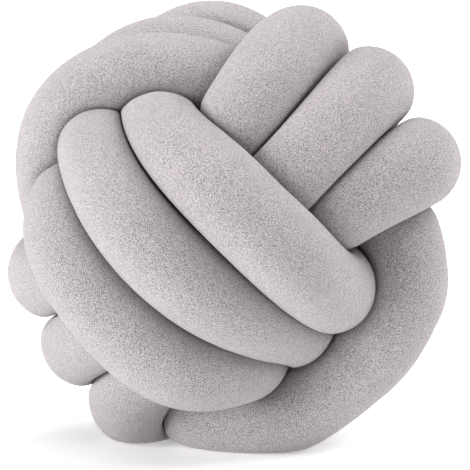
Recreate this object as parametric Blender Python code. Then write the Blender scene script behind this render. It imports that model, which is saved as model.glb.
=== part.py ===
"""Knot cushion: one long stuffed tube of short-pile cloth, tied into a ball.

The tube makes nine turns round the ball, three side by side in each of three bands. The bands
cross at right angles: each lies over the next one at its two crowns, and passes under the one
before it at its two sides. The tube goes from band to band inside the ball, where its two ends
are joined, so the cushion is one closed ring of tube. Where two stretches of it press on each
other they flatten, and meet half-way between their middles.

Metres, +Z up. The ball stands on z = 0 on small flat spots, with its front towards -Y.
"""

import math
from typing import NamedTuple

import bpy
import numpy as np

MM = 0.001

# The stuffed tube
TUBE_RADIUS = 26.8 * MM      # where nothing presses on it
FULLER = 0.14                # share by which it swells into the hollows inside the ball
FULLER_INSIDE = 60 * MM      # from the centre: what lies inside swells fully
FULLER_NOWHERE = 80 * MM     # from the centre: what lies outside doesn't swell
THINNEST = 6 * MM            # from its middle to the cloth where it is pressed hardest
SEAM_GAP = 1.3 * MM          # between two stretches that press on each other
PRESS_SHARPNESS = 14         # how sharply the round tube turns into a pressed flat
BEND_SHARE = 0.75            # of the tube's own bend radius that its cloth may fill

# The ball
WAIST_SPREAD = 47.5 * MM     # sets how far apart a band's turns stay where another covers them
GROWTH = 1.025               # makes up for what smoothing takes off the turns
FLAT_DEPTH = 10 * MM         # of the lowest cloth, pressed flat by the floor

# How the knot is turned, in degrees: the front band runs down to the right
FRONT_SLANT = 49
FRONT_NOD = 23
FRONT_YAW = 1
VIEW_RISE = 8.0              # the front is seen from this much above level

# Where the front of the ball, tied by hand, passes into its even back
FRONT_EDGE = 100 * MM        # behind the middle of the ball
FRONT_BLEND = 140 * MM       # deep

# The way from lane to lane, and from band to band
TURNS_IN_BAND = 3
BAND_END = 0.01              # of a turn: where a band meets its link
BAND_POINTS = 1500
SHIFT_HALF_WIDTH = 0.085     # of a turn: half of the stretch in which the tube changes lane
LINK_LANE = 0.25             # lanes further out, where a band's tube leaves for the next band
LINK_SHARE = 0.06            # of a turn, to get there
LINK_HANDLE = 34 * MM        # length of a link's two Bezier handles
LINK_POINTS = 60

# The tube pushing itself apart inside the ball
NEAREST = 34 * MM            # between the middles of two stretches
SAME_STRETCH = 80 * MM       # points nearer than this along the tube don't push
FREE_INSIDE = 78 * MM        # from the centre: what lies inside moves freely
FIXED_OUTSIDE = 98 * MM      # from the centre: what lies outside all but stays where it was tied
LEAST_FREE = 0.1             # how freely the fixed stretches still move
PUSH_ROUNDS = 60
PUSH = 0.5                   # shares taken in one round: of the overlap between two stretches,
STIFFNESS = 0.5              # of what keeps a bend even,
TENSION = 0.06               # of what keeps a free stretch short,
RETURN = 0.3                 # and of the way back to where a fixed stretch was tied
SLIDE = 0.3                  # share of a move along the tube itself that is kept

# Steps along the tube
COARSE_STEP = 8 * MM
FINE_STEP = 2 * MM
BEND_SMOOTHING = 10 * MM     # of the tied path
LAST_SMOOTHING = 7 * MM      # of the pushed path
SECTIONS = 420
SIDES = 14
EVEN_BEND = 20               # 1/m: bends much gentler than this one don't need closer sections
START_SIDE = (0.3, 0.2, 0.9)  # roughly across the tube where its sections start

# Keeping each stretch's flat faces on its own side of the half-way line
LOOK_ROUND = 2.6 * TUBE_RADIUS   # how far off another stretch can press
SKIPPED = 8 * MM             # points nearer than this are the section's own
OWN_STRETCH = 45 * MM        # nearer than this along the tube is no other stretch
DRAW_IN_ROUNDS = 10
DRAW_IN = 0.5                # share of the excess taken off in one round
FACE_STEPS = (0, 0.25, 0.5, 0.75)   # where a face is tested, along and across

CLOTH_COLOUR = (0.56, 0.53, 0.52, 1.0)
CLOTH_ROUGHNESS = 0.95


class Turn(NamedTuple):
    """One turn of the tube round the ball. Its first crown is where the phase is 0."""
    lean: float      # degrees out of its band's middle plane
    reach: float     # mm from the ball's centre to the tube's middle, at the crowns
    depth: float     # mm from the ball's centre to the tube's middle, at the sides
    square: float    # 2 is an ellipse, and more is boxier
    drift: float     # mm along the crown
    tilt: float      # degrees that the crowns are turned across its band
    shift: float = 0     # mm further out at the first crown, and in at the other
    taper: float = 0     # share by which it is deeper near the first crown
    swing: float = 0     # degrees that the first crown is swung across its band


class Set(NamedTuple):
    """How a whole band sits: turned about, and moved along, its own three axes."""
    turned: tuple    # degrees
    moved: tuple     # mm


EVEN_TURNS = (
    Turn(lean=-27, reach=109, depth=63.5, square=3.2, drift=0, tilt=0),
    Turn(lean=0, reach=109, depth=63.5, square=3.2, drift=0, tilt=0),
    Turn(lean=27, reach=109, depth=63.5, square=3.2, drift=0, tilt=0),
)
EVEN_SET = Set(turned=(0, 0, 0), moved=(0, 0, 0))

TIED_TURNS = (
    (   # the band across the front
        Turn(lean=-25.5, reach=99.5, depth=67, square=3.5, drift=1, tilt=-1),
        Turn(lean=0, reach=97.5, depth=80, square=2, drift=-7.5, tilt=0.5),
        Turn(lean=26, reach=96, depth=72, square=2.2, drift=3.5, tilt=5.5),
    ),
    (   # the band round the upper left and the lower right
        Turn(lean=-24.5, reach=116.5, depth=54, square=2.9, drift=1.5, tilt=-2,
             shift=1, taper=-0.10, swing=2.5),
        Turn(lean=-3, reach=106, depth=65, square=2.4, drift=-4.5, tilt=-2.5,
             shift=0.5, taper=0.10, swing=-1),
        Turn(lean=22.5, reach=114, depth=79, square=2.6, drift=-9, tilt=-0.5,
             shift=-1.5, taper=0.30, swing=-4.5),
    ),
    (   # the band over the upper right and under the lower left
        Turn(lean=-24, reach=106.5, depth=67.5, square=2.6, drift=-7, tilt=-3,
             shift=-1, swing=-1.5),
        Turn(lean=-3, reach=113.5, depth=79.5, square=2, drift=-4, tilt=2,
             shift=1, taper=-0.10, swing=0.5),
        Turn(lean=18, reach=125.5, depth=56.5, square=1.6, drift=5, tilt=-2,
             shift=-3.5, taper=-0.10, swing=0.5),
    ),
)
TIED_SETS = (
    Set(turned=(2.5, -0.5, -5), moved=(10, -5, 3)),
    Set(turned=(-4, 2, -2.5), moved=(-1.5, 6, -16)),
    Set(turned=(2.5, -1, -1.5), moved=(2, 3, -3.5)),
)


class Way(NamedTuple):
    """How the tube goes round one band."""
    side: int        # +1 or -1: the side of the ball where it enters and leaves the band
    direction: int   # +1 or -1
    first_lane: int  # -1 or +1


WAYS = (Way(-1, +1, -1), Way(+1, -1, +1), Way(-1, -1, +1))


def smooth_step(x):
    x = np.clip(x, 0.0, 1.0)
    return x * x * (3.0 - 2.0 * x)


def signed_power(x, exponent):
    return np.sign(x) * np.abs(x) ** exponent


def unit(vectors):
    return vectors / np.linalg.norm(vectors, axis=-1, keepdims=True)


def rotation(degrees):
    """The 3 by 3 rotation about the vector of three angles, by its length."""
    vector = np.radians(degrees)
    angle = np.linalg.norm(vector)
    if angle == 0:
        return np.eye(3)
    x, y, z = vector / angle
    cross = np.array([[0, -z, y], [z, 0, -x], [-y, x, 0]])
    return np.eye(3) + math.sin(angle) * cross + (1 - math.cos(angle)) * cross @ cross


def knot_axes():
    """Columns: the knot's three axes in the world. The first points out of the front band."""
    slant, nod, yaw, rise = np.radians([FRONT_SLANT, FRONT_NOD, FRONT_YAW, VIEW_RISE])
    along = np.array([math.cos(slant), -math.sin(slant), 0])
    across = np.array([math.sin(slant), math.cos(slant), 0])
    toward = np.array([0, 0, 1])
    second = math.cos(yaw) * along + math.sin(yaw) * toward
    facing = math.cos(yaw) * toward - math.sin(yaw) * along
    first = math.cos(nod) * facing - math.sin(nod) * across
    third = math.sin(nod) * facing + math.cos(nod) * across
    right_up_toward = np.stack([first, second, third], axis=1)
    seen_in_world = np.array([
        [1, 0, 0],
        [0, math.sin(rise), -math.cos(rise)],
        [0, math.cos(rise), math.sin(rise)],
    ])
    return seen_in_world @ right_up_toward


def at_lane(turns, field, lane):
    """A turn's value at any lane from -1 to 1 and a little past, by a parabola through three."""
    left, middle, right = (getattr(turn, field) for turn in turns)
    slope = (right - left) / 2
    bow = (left + right) / 2 - middle
    return middle + slope * lane + bow * lane * lane


def band_points(turns, band_set, band, lane, phase):
    """Points of a band's turns, in knot axes, for arrays of lanes and phases in radians."""
    crown_axis, run_axis, stack_axis = (np.eye(3)[(band + step) % 3] for step in range(3))
    power = 2 / at_lane(turns, "square", lane)
    lean = np.radians(at_lane(turns, "lean", lane))
    tilt = np.radians(at_lane(turns, "tilt", lane))
    swing = np.radians(at_lane(turns, "swing", lane))
    out = at_lane(turns, "reach", lane) * MM * signed_power(np.cos(phase), power)
    run = at_lane(turns, "depth", lane) * MM * signed_power(np.sin(phase), power)
    run = run * (1 + at_lane(turns, "taper", lane) * np.cos(phase))
    run = run + at_lane(turns, "drift", lane) * MM
    stack = np.sin(lean) * np.hypot(out, WAIST_SPREAD) + np.sin(tilt) * run + np.tan(swing) * out
    out = out * np.cos(lean) + at_lane(turns, "shift", lane) * MM
    own = np.stack([out, run * np.cos(tilt), stack], axis=-1)
    own = (own + np.array(band_set.moved) * MM) @ rotation(band_set.turned).T
    return own @ np.stack([crown_axis, run_axis, stack_axis])


def lane_on_the_way(turns_done, first_lane):
    """The lane after some turns: steady over the crowns, and changing under the next band."""
    lane = np.full_like(turns_done, -1.0)
    for change in range(1, TURNS_IN_BAND):
        start = change - SHIFT_HALF_WIDTH
        lane = lane + smooth_step((turns_done - start) / (2 * SHIFT_HALF_WIDTH))
    lane = lane - LINK_LANE * np.clip(1 - turns_done / LINK_SHARE, 0, 1)
    lane = lane + LINK_LANE * np.clip(1 - (TURNS_IN_BAND - turns_done) / LINK_SHARE, 0, 1)
    return -first_lane * lane


def band_path(band, viewer):
    """The tube's way round one band: hand-tied at the front, and even at the back."""
    way = WAYS[band]
    turns_done = np.linspace(BAND_END, TURNS_IN_BAND - BAND_END, BAND_POINTS)
    lane = lane_on_the_way(turns_done, way.first_lane)
    phase = way.side * math.pi / 2 + way.direction * 2 * math.pi * turns_done
    even = band_points(EVEN_TURNS, EVEN_SET, band, lane, phase)
    tied = band_points(TIED_TURNS[band], TIED_SETS[band], band, lane, phase)
    front = smooth_step((even @ viewer + FRONT_EDGE) / FRONT_BLEND)
    return even + (tied - even) * front[:, None]


def link_path(leaving, entering):
    """A Bezier curve that carries the tube from one band's end to the next band's start."""
    start, end = leaving[-1], entering[0]
    first_handle = start + unit(leaving[-1] - leaving[-3]) * LINK_HANDLE
    second_handle = end - unit(entering[2] - entering[0]) * LINK_HANDLE
    t = np.linspace(0, 1, LINK_POINTS)[1:-1, None]
    return ((1 - t) ** 3 * start + 3 * t * (1 - t) ** 2 * first_handle
            + 3 * t * t * (1 - t) * second_handle + t ** 3 * end)


def spaced(path, count, density=None):
    """The closed path with its points evenly spaced, or closer where density is greater."""
    ring = np.vstack([path, path[:1]])
    lengths = np.linalg.norm(np.diff(ring, axis=0), axis=1)
    if density is not None:
        lengths = lengths * (density + np.roll(density, -1)) / 2
    reached = np.concatenate([[0.0], np.cumsum(lengths)])
    wanted = np.linspace(0, reached[-1], count, endpoint=False)
    return np.stack([np.interp(wanted, reached, ring[:, axis]) for axis in range(3)], axis=1)


def path_length(path):
    return float(np.linalg.norm(np.roll(path, -1, axis=0) - path, axis=1).sum())


def smoothed(path, distance, step):
    """The closed, evenly spaced path with bends shorter than the distance ironed out."""
    waves = np.fft.fftfreq(len(path))[:, None]
    keep = np.exp(-0.5 * (2 * math.pi * waves * distance / step) ** 2)
    return np.real(np.fft.ifft(np.fft.fft(path, axis=0) * keep, axis=0))


def finer(path, times):
    """The closed path with more points on the same smooth curve."""
    waves = np.fft.fft(path, axis=0)
    half = len(path) // 2
    padded = np.zeros((len(path) * times, 3), complex)
    padded[:half] = waves[:half]
    padded[-half:] = waves[-half:]
    return np.real(np.fft.ifft(padded, axis=0)) * times


def tied_path(viewer):
    """The whole tube's middle line as it is tied, before it presses on itself."""
    bands = [band_path(band, viewer) for band in range(3)]
    pieces = []
    for band in range(3):
        pieces.append(bands[band])
        pieces.append(link_path(bands[band], bands[(band + 1) % 3]))
    path = np.vstack(pieces)
    path = spaced(path, round(path_length(path) / FINE_STEP))
    path = smoothed(path, BEND_SMOOTHING, FINE_STEP)
    return spaced(path, round(path_length(path) / COARSE_STEP)) * GROWTH


def pushed_path(home):
    """The middle line after the hidden stretches have pushed each other apart."""
    count = len(home)
    index = np.arange(count)
    apart = np.abs(index[:, None] - index[None])
    along = np.minimum(apart, count - apart) * COARSE_STEP
    from_centre = np.linalg.norm(home, axis=1)
    held = smooth_step((from_centre - FREE_INSIDE) / (FIXED_OUTSIDE - FREE_INSIDE))
    free = np.maximum(1 - held, LEAST_FREE)[:, None]
    path = home.copy()
    for _ in range(PUSH_ROUNDS):
        between = path[:, None] - path[None]
        distance = np.sqrt((between ** 2).sum(axis=2)) + 1e-9
        over = np.where((along > SAME_STRETCH) & (distance < NEAREST), NEAREST - distance, 0.0)
        push = (between * (over / distance)[..., None]).sum(axis=1)
        share = over.sum(axis=1) / np.maximum(over.max(axis=1), 1e-9)
        push = PUSH * push / np.maximum(share, 1)[:, None]
        push = (np.roll(push, 1, axis=0) + 2 * push + np.roll(push, -1, axis=0)) / 4
        sag = (np.roll(path, 1, axis=0) + np.roll(path, -1, axis=0)) / 2 - path
        bend = sag - (np.roll(sag, 1, axis=0) + np.roll(sag, -1, axis=0)) / 2
        moved = path + free * push + STIFFNESS * bend + TENSION * free * sag
        moved = moved + RETURN * (1 - free) * (home - moved)
        tangent = unit(np.roll(path, -1, axis=0) - np.roll(path, 1, axis=0))
        slide = ((moved - path) * tangent).sum(axis=1, keepdims=True) * tangent
        path = moved - (1 - SLIDE) * slide
    fine = finer(path, round(COARSE_STEP / FINE_STEP))
    fine = spaced(fine, round(path_length(fine) / FINE_STEP))
    return smoothed(fine, LAST_SMOOTHING, FINE_STEP)


def bending(path):
    """One over the bend radius at each point of the closed path."""
    before = path - np.roll(path, 1, axis=0)
    after = np.roll(path, -1, axis=0) - path
    cosine = (unit(before) * unit(after)).sum(axis=1)
    return np.arccos(np.clip(cosine, -1, 1)) / np.linalg.norm(after, axis=1)


def section_axes(middles):
    """Two axes across the tube at each point, carried along it without twist."""
    tangent = unit(np.roll(middles, -1, axis=0) - np.roll(middles, 1, axis=0))
    first = np.zeros_like(middles)
    first[0] = unit(np.cross(tangent[0], START_SIDE))
    for i in range(1, len(middles)):
        first[i] = unit(first[i - 1] - tangent[i] * (first[i - 1] @ tangent[i]))
    closing = unit(first[-1] - tangent[0] * (first[-1] @ tangent[0]))
    twist = math.atan2(np.cross(closing, first[0]) @ tangent[0], closing @ first[0])
    turn = (twist * np.arange(len(middles)) / len(middles))[:, None]
    second = np.cross(tangent, first)
    turned = np.cos(turn) * first + np.sin(turn) * second
    return turned, np.cross(tangent, turned)


def half_way(middle, outward, path):
    """How far the cloth can go each way before it is as near to another stretch's middle."""
    others = path - middle
    squared = (others ** 2).sum(axis=1)
    near = (squared > SKIPPED ** 2) & (squared < LOOK_ROUND ** 2)
    toward = outward @ others[near].T
    reach = squared[near] / np.maximum(2 * toward, 1e-9)
    return np.minimum(reach.min(axis=1), 1.0)


def bend_room(middles, outward):
    """How far the cloth can go each way before it folds on itself in the tube's own bend."""
    before = middles - np.roll(middles, 1, axis=0)
    after = np.roll(before, -1, axis=0)
    length = (np.linalg.norm(before, axis=1) + np.linalg.norm(after, axis=1)) / 2
    bend = (unit(after) - unit(before)) / length[:, None]
    inward = (outward * bend[:, None]).sum(axis=2)
    room = BEND_SHARE / np.maximum(inward, 1e-3)
    return np.minimum(room, np.minimum(np.roll(room, 1, axis=0), np.roll(room, -1, axis=0)))


def other_stretches(middle, path):
    """Points of the tube's middle line that are near this one, but not along the tube."""
    squared = ((path - middle) ** 2).sum(axis=1)
    apart = np.abs(np.arange(len(path)) - np.argmin(squared))
    along = np.minimum(apart, len(path) - apart) * FINE_STEP
    return path[(squared < (3 * TUBE_RADIUS) ** 2) & (along > OWN_STRETCH)]


def draw_in(radii, middles, outward, others):
    """Takes the radii in where a flat face would reach past half-way to another stretch."""
    points = middles[:, None] + outward * radii[..., None]
    too_far = np.zeros_like(radii)
    for i in range(SECTIONS):
        after = (i + 1) % SECTIONS
        for along in FACE_STEPS:
            middle = (1 - along) * middles[i] + along * middles[after]
            ring = (1 - along) * points[i] + along * points[after]
            for across in FACE_STEPS:
                spots = (1 - across) * ring + across * np.roll(ring, -1, axis=0)
                own = np.linalg.norm(spots - middle, axis=1)
                gaps = np.linalg.norm(spots[:, None] - others[i][None], axis=2)
                excess = np.maximum(own + SEAM_GAP / 2 - gaps.min(axis=1), 0)
                for ring_index in (i, after):
                    for shift in (0, 1):
                        moved = np.roll(excess, shift)
                        too_far[ring_index] = np.maximum(too_far[ring_index], moved)
    return np.maximum(radii - DRAW_IN * too_far, THINNEST / 2)


def tube_rings(path):
    """The tube's cloth as rings of points, one for each section."""
    middles = spaced(path, SECTIONS, density=bending(path) + EVEN_BEND)
    first, second = section_axes(middles)
    angle = np.arange(SIDES) * 2 * math.pi / SIDES
    outward = (np.cos(angle)[None, :, None] * first[:, None]
               + np.sin(angle)[None, :, None] * second[:, None])
    room = np.stack([half_way(middles[i], outward[i], path) for i in range(SECTIONS)])
    room = np.minimum(room, bend_room(middles, outward))
    room = np.maximum(room - SEAM_GAP / 2, THINNEST)
    from_centre = np.linalg.norm(middles, axis=1)
    inside = 1 - smooth_step((from_centre - FULLER_INSIDE) / (FULLER_NOWHERE - FULLER_INSIDE))
    free_radius = TUBE_RADIUS * (1 + FULLER * inside)[:, None]
    radii = (free_radius ** -PRESS_SHARPNESS + room ** -PRESS_SHARPNESS) ** (-1 / PRESS_SHARPNESS)
    others = [other_stretches(middle, path) for middle in middles]
    for _ in range(DRAW_IN_ROUNDS):
        radii = draw_in(radii, middles, outward, others)
    return middles[:, None] + outward * radii[..., None]


def standing_on_floor(rings):
    """The rings with the ball centred over the origin and its lowest cloth flat on z = 0."""
    points = rings.reshape(-1, 3)
    low = points.min(axis=0)
    high = points.max(axis=0)
    centre = (low + high) / 2
    stood = rings - np.array([centre[0], centre[1], low[2] + FLAT_DEPTH])
    stood[..., 2] = np.maximum(stood[..., 2], 0.0)
    return stood


def closed_ring_mesh(name, rings):
    """A mesh whose faces join each ring to the next, and the last ring to the first."""
    count, sides = rings.shape[:2]
    faces = []
    for i in range(count):
        this_ring = i * sides
        next_ring = (i + 1) % count * sides
        for j in range(sides):
            k = (j + 1) % sides
            faces.append((this_ring + j, this_ring + k, next_ring + k, next_ring + j))
    mesh = bpy.data.meshes.new(name)
    mesh.from_pydata(rings.reshape(-1, 3).tolist(), [], faces)
    mesh.validate()
    mesh.shade_smooth()
    return mesh


def plush_cloth():
    material = bpy.data.materials.new("plush_cloth")
    material.use_nodes = True
    shader = material.node_tree.nodes["Principled BSDF"]
    shader.inputs["Base Color"].default_value = CLOTH_COLOUR
    shader.inputs["Roughness"].default_value = CLOTH_ROUGHNESS
    shader.inputs["Metallic"].default_value = 0.0
    return material


def build_cushion():
    for old in list(bpy.data.objects):
        bpy.data.objects.remove(old)
    axes = knot_axes()
    viewer = axes.T @ np.array([0, -math.cos(math.radians(VIEW_RISE)),
                                math.sin(math.radians(VIEW_RISE))])
    path = pushed_path(tied_path(viewer)) @ axes.T
    mesh = closed_ring_mesh("knotted_tube", standing_on_floor(tube_rings(path)))
    mesh.materials.append(plush_cloth())
    collection = bpy.data.collections.new("knot_cushion")
    bpy.context.scene.collection.children.link(collection)
    collection.objects.link(bpy.data.objects.new("knotted_tube", mesh))


build_cushion()
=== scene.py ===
"""Looks of the knot cushion: its plush tube, a pale floor, soft studio light and the camera.

The tube is laid along the knot, with the same turns and the same way of pressing on itself as the
cushion's solid, but in much finer steps. Metres, +Z up.
"""

import math
from typing import NamedTuple

import bpy
import numpy as np
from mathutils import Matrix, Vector


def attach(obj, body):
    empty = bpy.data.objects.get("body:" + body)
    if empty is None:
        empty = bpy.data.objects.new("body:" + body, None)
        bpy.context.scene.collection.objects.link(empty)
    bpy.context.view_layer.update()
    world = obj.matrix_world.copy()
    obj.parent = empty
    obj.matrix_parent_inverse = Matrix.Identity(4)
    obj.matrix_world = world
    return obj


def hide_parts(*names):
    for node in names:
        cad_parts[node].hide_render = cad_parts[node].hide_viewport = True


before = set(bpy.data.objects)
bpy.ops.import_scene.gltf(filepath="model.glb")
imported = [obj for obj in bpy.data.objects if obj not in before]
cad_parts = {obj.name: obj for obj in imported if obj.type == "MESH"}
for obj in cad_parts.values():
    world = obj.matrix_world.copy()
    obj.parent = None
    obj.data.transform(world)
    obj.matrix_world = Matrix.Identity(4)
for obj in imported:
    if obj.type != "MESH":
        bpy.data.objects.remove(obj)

MM = 0.001

# The stuffed tube, as in the solid
TUBE_RADIUS = 26.8 * MM      # where nothing presses on it
FULLER = 0.14                # share by which it swells into the hollows inside the ball
FULLER_INSIDE = 60 * MM      # from the centre: what lies inside swells fully
FULLER_NOWHERE = 80 * MM     # from the centre: what lies outside doesn't swell
THINNEST = 6 * MM            # from its middle to the cloth where it is pressed hardest
SEAM_GAP = 0.5 * MM          # between two stretches that press on each other
PRESS_SHARPNESS = 14         # how sharply the round tube turns into a pressed flat
BEND_SHARE = 0.75            # of the tube's own bend radius that its cloth may fill
FLOOR_EASE = 5 * MM          # above and below the floor, where round cloth turns into its flat

# The ball
WAIST_SPREAD = 47.5 * MM     # sets how far apart a band's turns stay where another covers them
GROWTH = 1.025               # makes up for what smoothing takes off the turns
BALL_MIDDLE = np.array([-0.11, -1.53, 128.72]) * MM   # measured on the cushion's solid

# How the knot is turned, in degrees: the front band runs down to the right
FRONT_SLANT = 49
FRONT_NOD = 23
FRONT_YAW = 1
VIEW_RISE = 8.0              # the front is seen from this much above level

# Where the front of the ball, tied by hand, passes into its even back
FRONT_EDGE = 100 * MM        # behind the middle of the ball
FRONT_BLEND = 140 * MM       # deep

# The way from lane to lane, and from band to band
TURNS_IN_BAND = 3
BAND_END = 0.01              # of a turn: where a band meets its link
BAND_POINTS = 1500
SHIFT_HALF_WIDTH = 0.085     # of a turn: half of the stretch in which the tube changes lane
LINK_LANE = 0.25             # lanes further out, where a band's tube leaves for the next band
LINK_SHARE = 0.06            # of a turn, to get there
LINK_HANDLE = 34 * MM        # length of a link's two Bezier handles
LINK_POINTS = 60

# The tube pushing itself apart inside the ball
NEAREST = 34 * MM            # between the middles of two stretches
SAME_STRETCH = 80 * MM       # points nearer than this along the tube don't push
FREE_INSIDE = 78 * MM        # from the centre: what lies inside moves freely
FIXED_OUTSIDE = 98 * MM      # from the centre: what lies outside all but stays where it was tied
LEAST_FREE = 0.1             # how freely the fixed stretches still move
PUSH_ROUNDS = 60
PUSH = 0.5                   # shares taken in one round: of the overlap between two stretches,
STIFFNESS = 0.5              # of what keeps a bend even,
TENSION = 0.06               # of what keeps a free stretch short,
RETURN = 0.3                 # and of the way back to where a fixed stretch was tied
SLIDE = 0.3                  # share of a move along the tube itself that is kept

# Steps along the tube
COARSE_STEP = 8 * MM
FINE_STEP = 2 * MM
BEND_SMOOTHING = 10 * MM     # of the tied path
LAST_SMOOTHING = 7 * MM      # of the pushed path
SECTIONS = 1900
SIDES = 52
EVEN_BEND = 20               # 1/m: bends much gentler than this one don't need closer sections
LOOK_ROUND = 2.6 * TUBE_RADIUS   # how far off another stretch can press
SKIPPED = 8 * MM             # points nearer than this are the section's own
FAR = 1.0                    # nothing is in the cloth's way
STRAIGHT = 1e-3              # 1/m: a bend too gentle to fold the cloth
TINY = 1e-9                  # keeps a division safe

# The plush: how many in a metre, and how much each one changes the tone
TUFT_SCALE = 1650
TUFT_CONTRAST = 1.8
TUFT_MIDDLE = 0.45           # a tuft's usual depth, in its pattern
FIBRE_SCALE = 1700
FIBRE_CONTRAST = 2.1
FIBRE_ROUGHNESS = 0.6
BRUSHED_SCALE = 22
BRUSHED_CONTRAST = 0.25
MIDDLE_TONE = 0.5            # half-way from dark pile to light pile
PILE_RELIEF = 0.75 * MM
DARK_PILE = (0.042, 0.036, 0.0405, 1.0)     # between the tufts
LIGHT_PILE = (0.555, 0.506, 0.527, 1.0)     # at the fibre tips
PILE_ROUGHNESS = 0.95
PILE_GLOSS = 0.15
SHEEN = 0.7
SHEEN_SPREAD = 0.9
SHEEN_COLOUR = (1.0, 0.965, 0.98, 1.0)

# The floor
FLOOR_SIZE = 12
FLOOR_COLOUR = (0.9, 0.9, 0.9, 1.0)
FLOOR_ROUGHNESS = 0.9
FLOOR_GLOW = 0.36            # keeps the pale floor white
WHITE = (1.0, 1.0, 1.0, 1.0)

# The picture
PICTURE_WIDTH = 470          # pixels
BALL_IN_PICTURE = (232, 229.5)   # pixels: the ball's middle
PIXELS_PER_METRE = 457 / 0.27    # at the ball's middle
CAMERA_DISTANCE = 2.57       # from the ball's middle
SENSOR = 36                  # millimetres
PICTURE_GAMMA = 0.9          # below 1, the darker tones are deeper


class Turn(NamedTuple):
    """One turn of the tube round the ball. Its first crown is where the phase is 0."""
    lean: float      # degrees out of its band's middle plane
    reach: float     # mm from the ball's centre to the tube's middle, at the crowns
    depth: float     # mm from the ball's centre to the tube's middle, at the sides
    square: float    # 2 is an ellipse, and more is boxier
    drift: float     # mm along the crown
    tilt: float      # degrees that the crowns are turned across its band
    shift: float = 0     # mm further out at the first crown, and in at the other
    taper: float = 0     # share by which it is deeper near the first crown
    swing: float = 0     # degrees that the first crown is swung across its band


class Set(NamedTuple):
    """How a whole band sits: turned about, and moved along, its own three axes."""
    turned: tuple    # degrees
    moved: tuple     # mm


EVEN_TURNS = (
    Turn(lean=-27, reach=109, depth=63.5, square=3.2, drift=0, tilt=0),
    Turn(lean=0, reach=109, depth=63.5, square=3.2, drift=0, tilt=0),
    Turn(lean=27, reach=109, depth=63.5, square=3.2, drift=0, tilt=0),
)
EVEN_SET = Set(turned=(0, 0, 0), moved=(0, 0, 0))

# A separate program fitted these turns, their sets, the front's angles, WAIST_SPREAD and
# BALL_IN_PICTURE to the outlines in the photo, and the values were then rounded.
TIED_TURNS = (
    (   # the band across the front
        Turn(lean=-25.5, reach=99.5, depth=67, square=3.5, drift=1, tilt=-1),
        Turn(lean=0, reach=97.5, depth=80, square=2, drift=-7.5, tilt=0.5),
        Turn(lean=26, reach=96, depth=72, square=2.2, drift=3.5, tilt=5.5),
    ),
    (   # the band round the upper left and the lower right
        Turn(lean=-24.5, reach=116.5, depth=54, square=2.9, drift=1.5, tilt=-2,
             shift=1, taper=-0.10, swing=2.5),
        Turn(lean=-3, reach=106, depth=65, square=2.4, drift=-4.5, tilt=-2.5,
             shift=0.5, taper=0.10, swing=-1),
        Turn(lean=22.5, reach=114, depth=79, square=2.6, drift=-9, tilt=-0.5,
             shift=-1.5, taper=0.30, swing=-4.5),
    ),
    (   # the band over the upper right and under the lower left
        Turn(lean=-24, reach=106.5, depth=67.5, square=2.6, drift=-7, tilt=-3,
             shift=-1, swing=-1.5),
        Turn(lean=-3, reach=113.5, depth=79.5, square=2, drift=-4, tilt=2,
             shift=1, taper=-0.10, swing=0.5),
        Turn(lean=18, reach=125.5, depth=56.5, square=1.6, drift=5, tilt=-2,
             shift=-3.5, taper=-0.10, swing=0.5),
    ),
)
TIED_SETS = (
    Set(turned=(2.5, -0.5, -5), moved=(10, -5, 3)),
    Set(turned=(-4, 2, -2.5), moved=(-1.5, 6, -16)),
    Set(turned=(2.5, -1, -1.5), moved=(2, 3, -3.5)),
)


class Way(NamedTuple):
    """How the tube goes round one band."""
    side: int        # +1 or -1: the side of the ball where it enters and leaves the band
    direction: int   # +1 or -1
    first_lane: int  # -1 or +1


WAYS = (Way(-1, +1, -1), Way(+1, -1, +1), Way(-1, -1, +1))


class Softbox(NamedTuple):
    """A large, far studio light."""
    name: str
    azimuth: float   # degrees round the ball from the front, to the right
    rise: float      # degrees above level
    spread: float    # degrees that it fills, seen from the ball
    power: float     # watts on a square metre
    colour: tuple


SOFTBOXES = (
    Softbox("key_light", azimuth=-60, rise=6, spread=45, power=5.1, colour=(1.0, 0.99, 0.98)),
    Softbox("right_light", azimuth=90, rise=45, spread=50, power=0.95, colour=(0.98, 0.91, 1.0)),
    Softbox("rear_light", azimuth=112, rise=38, spread=50, power=2.6, colour=(1.0, 1.0, 1.0)),
    Softbox("top_light", azimuth=0, rise=80, spread=60, power=2.2, colour=(1.0, 0.99, 0.98)),
)
STUDIO_GLOW = 0.02           # from all round
LIGHT_DISTANCE = 2.0         # from the ball's middle, which changes nothing in a far light


# ---------------------------------------------------------------- the knot

def smooth_step(x):
    x = np.clip(x, 0.0, 1.0)
    return x * x * (3.0 - 2.0 * x)


def signed_power(x, exponent):
    return np.sign(x) * np.abs(x) ** exponent


def unit(vectors):
    return vectors / np.linalg.norm(vectors, axis=-1, keepdims=True)


def rotation(degrees):
    """The 3 by 3 rotation about the vector of three angles, by its length."""
    vector = np.radians(degrees)
    angle = np.linalg.norm(vector)
    if angle == 0:
        return np.eye(3)
    x, y, z = vector / angle
    cross = np.array([[0, -z, y], [z, 0, -x], [-y, x, 0]])
    return np.eye(3) + math.sin(angle) * cross + (1 - math.cos(angle)) * cross @ cross


def knot_axes():
    """Columns: the knot's three axes in the world. The first points out of the front band."""
    slant, nod, yaw, rise = np.radians([FRONT_SLANT, FRONT_NOD, FRONT_YAW, VIEW_RISE])
    along = np.array([math.cos(slant), -math.sin(slant), 0])
    across = np.array([math.sin(slant), math.cos(slant), 0])
    toward = np.array([0, 0, 1])
    second = math.cos(yaw) * along + math.sin(yaw) * toward
    outward = math.cos(yaw) * toward - math.sin(yaw) * along
    first = math.cos(nod) * outward - math.sin(nod) * across
    third = math.sin(nod) * outward + math.cos(nod) * across
    right_up_toward = np.stack([first, second, third], axis=1)
    seen_in_world = np.array([
        [1, 0, 0],
        [0, math.sin(rise), -math.cos(rise)],
        [0, math.cos(rise), math.sin(rise)],
    ])
    return seen_in_world @ right_up_toward


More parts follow.
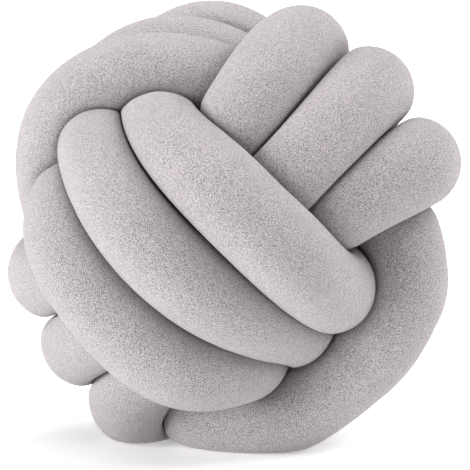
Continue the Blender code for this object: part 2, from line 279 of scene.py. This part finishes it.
def at_lane(turns, field, lane):
    """A turn's value at any lane from -1 to 1 and a little past, by a parabola through three."""
    left, middle, right = (getattr(turn, field) for turn in turns)
    slope = (right - left) / 2
    bow = (left + right) / 2 - middle
    return middle + slope * lane + bow * lane * lane


def band_points(turns, band_set, band, lane, phase):
    """Points of a band's turns, in knot axes, for arrays of lanes and phases in radians."""
    crown_axis, run_axis, stack_axis = (np.eye(3)[(band + step) % 3] for step in range(3))
    power = 2 / at_lane(turns, "square", lane)
    lean = np.radians(at_lane(turns, "lean", lane))
    tilt = np.radians(at_lane(turns, "tilt", lane))
    swing = np.radians(at_lane(turns, "swing", lane))
    out = at_lane(turns, "reach", lane) * MM * signed_power(np.cos(phase), power)
    run = at_lane(turns, "depth", lane) * MM * signed_power(np.sin(phase), power)
    run = run * (1 + at_lane(turns, "taper", lane) * np.cos(phase))
    run = run + at_lane(turns, "drift", lane) * MM
    stack = np.sin(lean) * np.hypot(out, WAIST_SPREAD) + np.sin(tilt) * run + np.tan(swing) * out
    out = out * np.cos(lean) + at_lane(turns, "shift", lane) * MM
    own = np.stack([out, run * np.cos(tilt), stack], axis=-1)
    own = (own + np.array(band_set.moved) * MM) @ rotation(band_set.turned).T
    return own @ np.stack([crown_axis, run_axis, stack_axis])


def lane_on_the_way(turns_done, first_lane):
    """The lane after some turns: steady over the crowns, and changing under the next band."""
    lane = np.full_like(turns_done, -1.0)
    for change in range(1, TURNS_IN_BAND):
        start = change - SHIFT_HALF_WIDTH
        lane = lane + smooth_step((turns_done - start) / (2 * SHIFT_HALF_WIDTH))
    lane = lane - LINK_LANE * np.clip(1 - turns_done / LINK_SHARE, 0, 1)
    lane = lane + LINK_LANE * np.clip(1 - (TURNS_IN_BAND - turns_done) / LINK_SHARE, 0, 1)
    return -first_lane * lane


def band_path(band, viewer):
    """The tube's way round one band: hand-tied at the front, and even at the back."""
    way = WAYS[band]
    turns_done = np.linspace(BAND_END, TURNS_IN_BAND - BAND_END, BAND_POINTS)
    lane = lane_on_the_way(turns_done, way.first_lane)
    phase = way.side * math.pi / 2 + way.direction * 2 * math.pi * turns_done
    even = band_points(EVEN_TURNS, EVEN_SET, band, lane, phase)
    tied = band_points(TIED_TURNS[band], TIED_SETS[band], band, lane, phase)
    front = smooth_step((even @ viewer + FRONT_EDGE) / FRONT_BLEND)
    return even + (tied - even) * front[:, None]


def link_path(leaving, entering):
    """A Bezier curve that carries the tube from one band's end to the next band's start."""
    start, end = leaving[-1], entering[0]
    first_handle = start + unit(leaving[-1] - leaving[-3]) * LINK_HANDLE
    second_handle = end - unit(entering[2] - entering[0]) * LINK_HANDLE
    t = np.linspace(0, 1, LINK_POINTS)[1:-1, None]
    return ((1 - t) ** 3 * start + 3 * t * (1 - t) ** 2 * first_handle
            + 3 * t * t * (1 - t) * second_handle + t ** 3 * end)


def spaced(path, count, density=None):
    """The closed path with its points evenly spaced, or closer where density is greater."""
    ring = np.vstack([path, path[:1]])
    lengths = np.linalg.norm(np.diff(ring, axis=0), axis=1)
    if density is not None:
        lengths = lengths * (density + np.roll(density, -1)) / 2
    reached = np.concatenate([[0.0], np.cumsum(lengths)])
    wanted = np.linspace(0, reached[-1], count, endpoint=False)
    return np.stack([np.interp(wanted, reached, ring[:, axis]) for axis in range(3)], axis=1)


def path_length(path):
    return float(np.linalg.norm(np.roll(path, -1, axis=0) - path, axis=1).sum())


def smoothed(path, distance, step):
    """The closed, evenly spaced path with bends shorter than the distance ironed out."""
    waves = np.fft.fftfreq(len(path))[:, None]
    keep = np.exp(-0.5 * (2 * math.pi * waves * distance / step) ** 2)
    return np.real(np.fft.ifft(np.fft.fft(path, axis=0) * keep, axis=0))


def finer(path, times):
    """The closed path with more points on the same smooth curve."""
    waves = np.fft.fft(path, axis=0)
    half = len(path) // 2
    padded = np.zeros((len(path) * times, 3), complex)
    padded[:half] = waves[:half]
    padded[-half:] = waves[-half:]
    return np.real(np.fft.ifft(padded, axis=0)) * times


def tied_path(viewer):
    """The whole tube's middle line as it is tied, before it presses on itself."""
    bands = [band_path(band, viewer) for band in range(3)]
    pieces = []
    for band in range(3):
        pieces.append(bands[band])
        pieces.append(link_path(bands[band], bands[(band + 1) % 3]))
    path = np.vstack(pieces)
    path = spaced(path, round(path_length(path) / FINE_STEP))
    path = smoothed(path, BEND_SMOOTHING, FINE_STEP)
    return spaced(path, round(path_length(path) / COARSE_STEP)) * GROWTH


def pushed_path(home):
    """The middle line after the hidden stretches have pushed each other apart."""
    count = len(home)
    index = np.arange(count)
    apart = np.abs(index[:, None] - index[None])
    along = np.minimum(apart, count - apart) * COARSE_STEP
    from_centre = np.linalg.norm(home, axis=1)
    held = smooth_step((from_centre - FREE_INSIDE) / (FIXED_OUTSIDE - FREE_INSIDE))
    free = np.maximum(1 - held, LEAST_FREE)[:, None]
    path = home.copy()
    for _ in range(PUSH_ROUNDS):
        between = path[:, None] - path[None]
        distance = np.sqrt((between ** 2).sum(axis=2)) + TINY
        over = np.where((along > SAME_STRETCH) & (distance < NEAREST), NEAREST - distance, 0.0)
        push = (between * (over / distance)[..., None]).sum(axis=1)
        share = over.sum(axis=1) / np.maximum(over.max(axis=1), TINY)
        push = PUSH * push / np.maximum(share, 1)[:, None]
        push = (np.roll(push, 1, axis=0) + 2 * push + np.roll(push, -1, axis=0)) / 4
        sag = (np.roll(path, 1, axis=0) + np.roll(path, -1, axis=0)) / 2 - path
        bend = sag - (np.roll(sag, 1, axis=0) + np.roll(sag, -1, axis=0)) / 2
        moved = path + free * push + STIFFNESS * bend + TENSION * free * sag
        moved = moved + RETURN * (1 - free) * (home - moved)
        tangent = unit(np.roll(path, -1, axis=0) - np.roll(path, 1, axis=0))
        slide = ((moved - path) * tangent).sum(axis=1, keepdims=True) * tangent
        path = moved - (1 - SLIDE) * slide
    fine = finer(path, round(COARSE_STEP / FINE_STEP))
    fine = spaced(fine, round(path_length(fine) / FINE_STEP))
    return smoothed(fine, LAST_SMOOTHING, FINE_STEP)


def bending(path):
    """One over the bend radius at each point of the closed path."""
    before = path - np.roll(path, 1, axis=0)
    after = np.roll(path, -1, axis=0) - path
    cosine = (unit(before) * unit(after)).sum(axis=1)
    return np.arccos(np.clip(cosine, -1, 1)) / np.linalg.norm(after, axis=1)


# ---------------------------------------------------------------- the tube's cloth

def round_tube(middles):
    """A closed curve with a round bevel through the middles, made a mesh ring by ring."""
    curve = bpy.data.curves.new("plush_tube", "CURVE")
    curve.dimensions = "3D"
    curve.bevel_depth = TUBE_RADIUS
    curve.bevel_resolution = SIDES // 2 - 2
    spline = curve.splines.new("POLY")
    spline.points.add(len(middles) - 1)
    spline.points.foreach_set("co", np.insert(middles, 3, 1.0, axis=1).reshape(-1))
    spline.use_cyclic_u = True
    tube = bpy.data.objects.new("plush_tube", curve)
    bpy.context.scene.collection.objects.link(tube)
    bpy.ops.object.select_all(action="DESELECT")
    tube.select_set(True)
    bpy.context.view_layer.objects.active = tube
    bpy.ops.object.convert(target="MESH")
    return bpy.context.object


def half_way(middle, outward, path):
    """How far the cloth can go each way before it is as near to another stretch's middle."""
    others = path - middle
    squared = (others ** 2).sum(axis=1)
    near = (squared > SKIPPED ** 2) & (squared < LOOK_ROUND ** 2)
    toward = outward @ others[near].T
    reach = squared[near] / np.maximum(2 * toward, TINY)
    return np.minimum(reach.min(axis=1), FAR)


def bend_room(middles, outward):
    """How far the cloth can go each way before it folds on itself in the tube's own bend."""
    before = middles - np.roll(middles, 1, axis=0)
    after = np.roll(before, -1, axis=0)
    length = (np.linalg.norm(before, axis=1) + np.linalg.norm(after, axis=1)) / 2
    bend = (unit(after) - unit(before)) / length[:, None]
    inward = (outward * bend[:, None]).sum(axis=2)
    room = BEND_SHARE / np.maximum(inward, STRAIGHT)
    return np.minimum(room, np.minimum(np.roll(room, 1, axis=0), np.roll(room, -1, axis=0)))


def pressed(rings, middles, path):
    """The rings drawn in where another stretch, or the tube's own bend, leaves less room."""
    outward = unit(rings - middles[:, None])
    room = np.stack([half_way(middles[i], outward[i], path) for i in range(SECTIONS)])
    room = np.minimum(room, bend_room(middles, outward))
    room = np.maximum(room - SEAM_GAP / 2, THINNEST)
    from_centre = np.linalg.norm(middles, axis=1)
    inside = 1 - smooth_step((from_centre - FULLER_INSIDE) / (FULLER_NOWHERE - FULLER_INSIDE))
    free_radius = TUBE_RADIUS * (1 + FULLER * inside)[:, None]
    radii = (free_radius ** -PRESS_SHARPNESS + room ** -PRESS_SHARPNESS) ** (-1 / PRESS_SHARPNESS)
    return middles[:, None] + outward * radii[..., None]


def on_the_floor(points):
    """The points with the ball over the origin and its lowest cloth pressed softly on z = 0."""
    stood = points + BALL_MIDDLE
    height = stood[..., 2]
    eased = np.maximum(height + FLOOR_EASE, 0.0) ** 2 / (4 * FLOOR_EASE)
    stood[..., 2] = np.where(height > FLOOR_EASE, height, eased)
    return stood


def add_plush_tube():
    """The cushion's one tube, laid along the knot and pressed on itself and on the floor."""
    axes = knot_axes()
    viewer = axes.T @ np.array([0, -math.cos(math.radians(VIEW_RISE)),
                                math.sin(math.radians(VIEW_RISE))])
    path = pushed_path(tied_path(viewer)) @ axes.T
    middles = spaced(path, SECTIONS, density=bending(path) + EVEN_BEND)
    tube = round_tube(middles)
    points = np.empty(SECTIONS * SIDES * 3)
    tube.data.vertices.foreach_get("co", points)
    rings = points.reshape(SECTIONS, SIDES, 3)
    tube.data.vertices.foreach_set("co", on_the_floor(pressed(rings, middles, path)).reshape(-1))
    tube.data.update()
    bpy.ops.object.shade_smooth()
    return tube


# ---------------------------------------------------------------- materials

class Value:
    """A shader socket, so that maths on it is written as an expression."""

    def __init__(self, graph, socket):
        self.graph = graph
        self.socket = socket

    def maths(self, operation, other, turned=False):
        """A Math node on this Value and another, or the other way round where it is turned."""
        values = (other, self) if turned else (self, other)
        return self.graph.node("Math", {"operation": operation}, {0: values[0], 1: values[1]})

    def __add__(self, other):
        return self.maths("ADD", other)

    def __sub__(self, other):
        return self.maths("SUBTRACT", other)

    def __mul__(self, other):
        return self.maths("MULTIPLY", other)

    def __rsub__(self, other):
        return self.maths("SUBTRACT", other, turned=True)

    __radd__ = __add__
    __rmul__ = __mul__


class Graph:
    """A material's nodes."""

    def __init__(self, name):
        self.material = bpy.data.materials.new(name)
        self.material.use_nodes = True
        self.tree = self.material.node_tree
        self.shader = self.tree.nodes["Principled BSDF"]

    def put(self, value, socket):
        """Links a Value to a socket, or sets the socket to a plain value."""
        if isinstance(value, Value):
            self.tree.links.new(value.socket, socket)
        else:
            socket.default_value = value

    def node(self, kind, settings=None, inputs=None, output=0):
        """A new node of a kind: its settings first, then its sockets. Its output as a Value."""
        made = self.tree.nodes.new("ShaderNode" + kind)
        for name, setting in (settings or {}).items():
            setattr(made, name, setting)
        for name, value in (inputs or {}).items():
            self.put(value, made.inputs[name])
        return Value(self, made.outputs[output])


def plush():
    """Short dense pile: tufts, fibre tips, soft brushed patches and a pale sheen at the edges."""
    graph = Graph("plush")
    place = graph.node("TexCoord", output="Object")
    tufts = graph.node("TexVoronoi", {"feature": "F1"}, {
        "Vector": place, "Scale": TUFT_SCALE}, output="Distance")
    fibres = graph.node("TexNoise", {}, {
        "Vector": place, "Scale": FIBRE_SCALE, "Detail": 1.0, "Roughness": FIBRE_ROUGHNESS},
        output="Fac")
    brushed = graph.node("TexNoise", {}, {
        "Vector": place, "Scale": BRUSHED_SCALE, "Detail": 3.0}, output="Fac")
    tone = ((TUFT_MIDDLE - tufts) * TUFT_CONTRAST + (fibres - 0.5) * FIBRE_CONTRAST
            + (brushed - 0.5) * BRUSHED_CONTRAST + MIDDLE_TONE)
    colour = graph.node("Mix", {"data_type": "RGBA"}, {
        0: tone, 6: DARK_PILE, 7: LIGHT_PILE}, output=2)
    height = fibres - tufts
    bump = graph.node("Bump", {}, {"Strength": 1.0, "Distance": PILE_RELIEF, "Height": height})
    graph.put(colour, graph.shader.inputs["Base Color"])
    graph.put(bump, graph.shader.inputs["Normal"])
    graph.put(PILE_ROUGHNESS, graph.shader.inputs["Roughness"])
    graph.put(PILE_GLOSS, graph.shader.inputs["Specular IOR Level"])
    graph.put(SHEEN, graph.shader.inputs["Sheen Weight"])
    graph.put(SHEEN_SPREAD, graph.shader.inputs["Sheen Roughness"])
    graph.put(SHEEN_COLOUR, graph.shader.inputs["Sheen Tint"])
    return graph.material


def floor_paint():
    """Matt pale paint with a little glow of its own."""
    graph = Graph("floor_paint")
    graph.put(FLOOR_COLOUR, graph.shader.inputs["Base Color"])
    graph.put(WHITE, graph.shader.inputs["Emission Color"])
    graph.put(FLOOR_GLOW, graph.shader.inputs["Emission Strength"])
    graph.put(FLOOR_ROUGHNESS, graph.shader.inputs["Roughness"])
    return graph.material


# ---------------------------------------------------------------- the studio

def add_floor():
    bpy.ops.object.select_all(action="DESELECT")
    bpy.ops.mesh.primitive_plane_add(size=FLOOR_SIZE, location=(0, 0, 0))
    floor = bpy.context.object
    floor.name = "floor"
    floor.data.materials.append(floor_paint())


def facing(azimuth, rise):
    """The unit vector from the ball towards a place round it. Azimuth 0 is the front."""
    round_it, up = math.radians(azimuth), math.radians(rise)
    return Vector((math.sin(round_it) * math.cos(up), -math.cos(round_it) * math.cos(up),
                   math.sin(up)))


def add_light(box):
    lamp = bpy.data.lights.new(box.name, "SUN")
    lamp.angle = math.radians(box.spread)
    lamp.energy = box.power
    lamp.color = box.colour
    light = bpy.data.objects.new(box.name, lamp)
    bpy.context.scene.collection.objects.link(light)
    away = facing(box.azimuth, box.rise)
    light.location = Vector(BALL_MIDDLE) + away * LIGHT_DISTANCE
    light.rotation_euler = away.to_track_quat("Z", "Y").to_euler()


def add_studio_glow():
    world = bpy.data.worlds.new("studio_glow")
    world.use_nodes = True
    world.node_tree.nodes["Background"].inputs["Color"].default_value = WHITE
    world.node_tree.nodes["Background"].inputs["Strength"].default_value = STUDIO_GLOW
    bpy.context.scene.world = world


def add_camera():
    """The camera at the picture's angle: level with the ball's front, a little from above."""
    away = facing(0, VIEW_RISE)
    turned = away.to_track_quat("Z", "Y")
    right = turned @ Vector((1, 0, 0))
    up = turned @ Vector((0, 1, 0))
    across = (PICTURE_WIDTH / 2 - BALL_IN_PICTURE[0]) / PIXELS_PER_METRE
    down = (PICTURE_WIDTH / 2 - BALL_IN_PICTURE[1]) / PIXELS_PER_METRE
    data = bpy.data.cameras.new("camera")
    data.sensor_width = SENSOR
    data.lens = SENSOR * CAMERA_DISTANCE * PIXELS_PER_METRE / PICTURE_WIDTH
    camera = bpy.data.objects.new("camera", data)
    bpy.context.scene.collection.objects.link(camera)
    camera.location = (Vector(BALL_MIDDLE) + away * CAMERA_DISTANCE
                       + right * across - up * down)
    camera.rotation_euler = turned.to_euler()
    bpy.context.scene.camera = camera


def main():
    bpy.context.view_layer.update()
    tube = add_plush_tube()
    tube.data.materials.append(plush())
    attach(tube, "root")
    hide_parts("knotted_tube")
    add_floor()
    for box in SOFTBOXES:
        add_light(box)
    add_studio_glow()
    add_camera()
    bpy.context.scene.view_settings.view_transform = "Standard"
    bpy.context.scene.view_settings.gamma = PICTURE_GAMMA


main()
